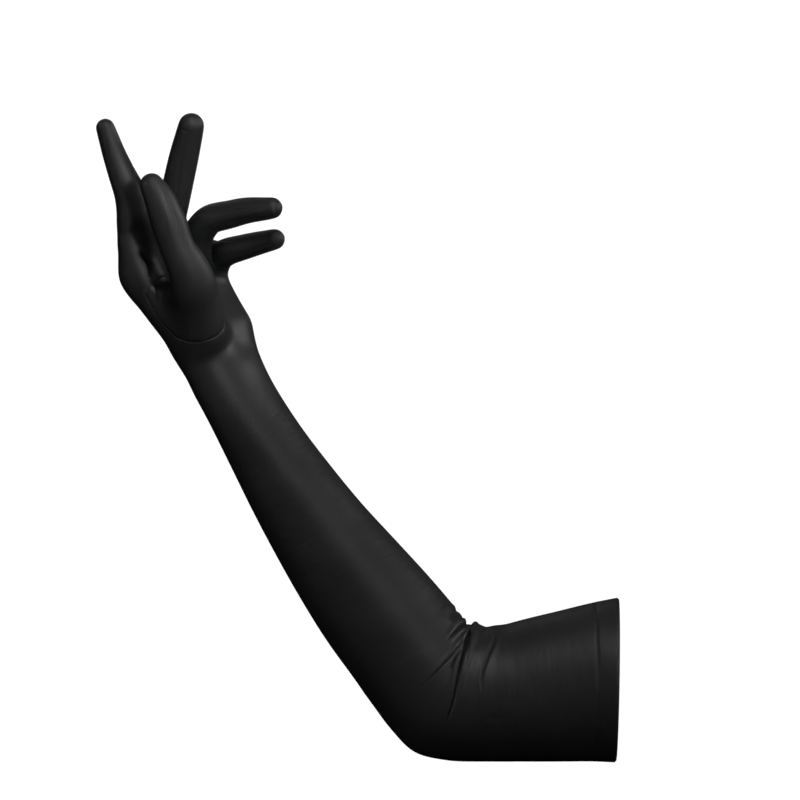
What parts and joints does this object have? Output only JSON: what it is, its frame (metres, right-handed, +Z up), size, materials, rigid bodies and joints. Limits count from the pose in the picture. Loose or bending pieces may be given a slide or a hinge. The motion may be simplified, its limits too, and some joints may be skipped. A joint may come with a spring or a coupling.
{
  "type": "long evening glove",
  "caption": "Elbow-bent long glove of stretch satin for the left hand, with a set-in thumb, strips between the fingers and a folded hem above the elbow.",
  "frame": {"origin": "middle of the arm opening, in the plane of the hem's edge", "axes": "+X out of the arm opening along the upper arm, +Z up on the bent arm, -Y the thumb side"},
  "size_m": [0.3048, 0.1171, 0.3814],
  "materials": {
    "satin": "black stretch satin with a soft sheen"
  },
  "bodies": {
    "root": {"glove_body": "satin", "thumb": "satin", "fourchette_index_middle": "satin", "fourchette_middle_ring": "satin", "fourchette_ring_little": "satin", "hem_band": "satin"}
  },
  "joints": []
}
